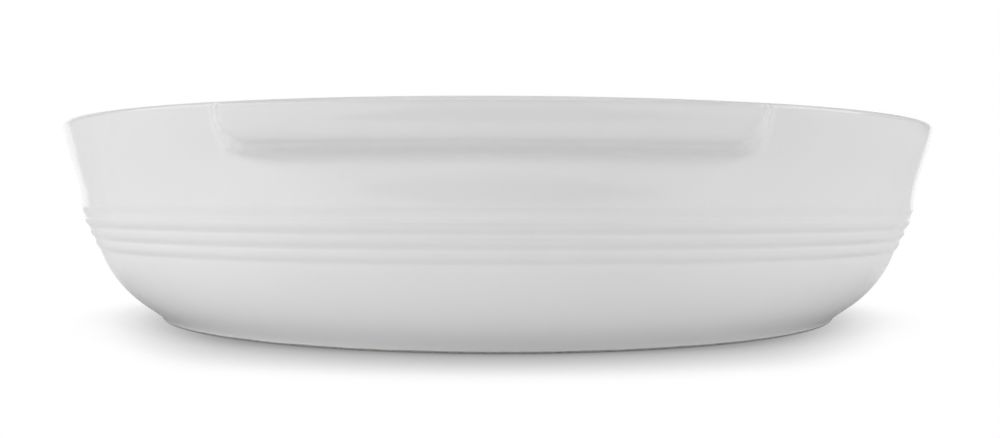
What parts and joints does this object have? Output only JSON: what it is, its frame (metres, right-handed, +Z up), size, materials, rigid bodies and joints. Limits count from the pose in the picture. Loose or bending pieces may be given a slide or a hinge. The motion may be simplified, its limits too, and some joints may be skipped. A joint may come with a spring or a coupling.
{
  "type": "oval baking dish",
  "caption": "Shallow oval stoneware baking dish in glossy white glaze, with a ribbed band round the wall, a wide lug handle at each end and a low foot ring.",
  "frame": {"origin": "centre of the plane that the foot ring stands on", "axes": "+Z up, +Y along the dish from the front handle to the rear handle, +X across it"},
  "size_m": [0.25, 0.383, 0.0532],
  "materials": {
    "white_glaze": "glossy white glaze",
    "bare_stoneware": "grey stoneware, wiped bare on the standing face"
  },
  "bodies": {
    "root": {"dish_body": "white_glaze", "handle_front": "white_glaze", "handle_rear": "white_glaze", "foot_ring": "bare_stoneware"}
  },
  "joints": []
}
